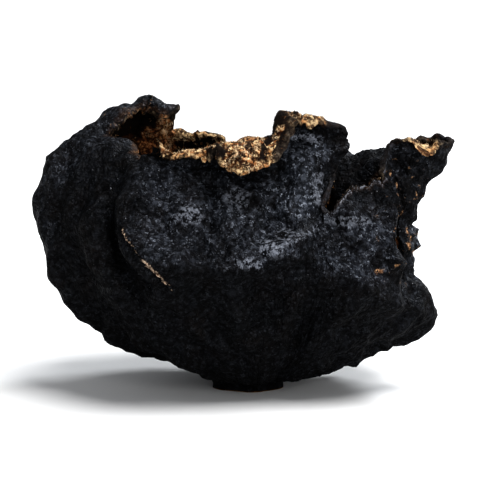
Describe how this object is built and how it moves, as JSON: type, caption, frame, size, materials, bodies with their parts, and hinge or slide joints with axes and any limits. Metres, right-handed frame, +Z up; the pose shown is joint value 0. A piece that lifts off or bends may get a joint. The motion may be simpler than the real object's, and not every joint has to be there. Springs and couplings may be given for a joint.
{
  "type": "dried wood ear mushroom",
  "caption": "Dried wood ear mushroom: a crumpled black leathery cup, tan and felted inside, with rolled margins, a folded lobe and a pointed horn.",
  "frame": {"origin": "centre of the flat cut under the stub, where the mushroom was cut from its wood and on which it rests", "axes": "+Z up, -Y to the front with the folded lobe, +X to the horn"},
  "size_m": [0.0681, 0.0477, 0.0488],
  "materials": {
    "wood_ear": "matte, powdery black outside, tan felt inside"
  },
  "bodies": {
    "root": {"wood_ear": "wood_ear"}
  },
  "joints": []
}
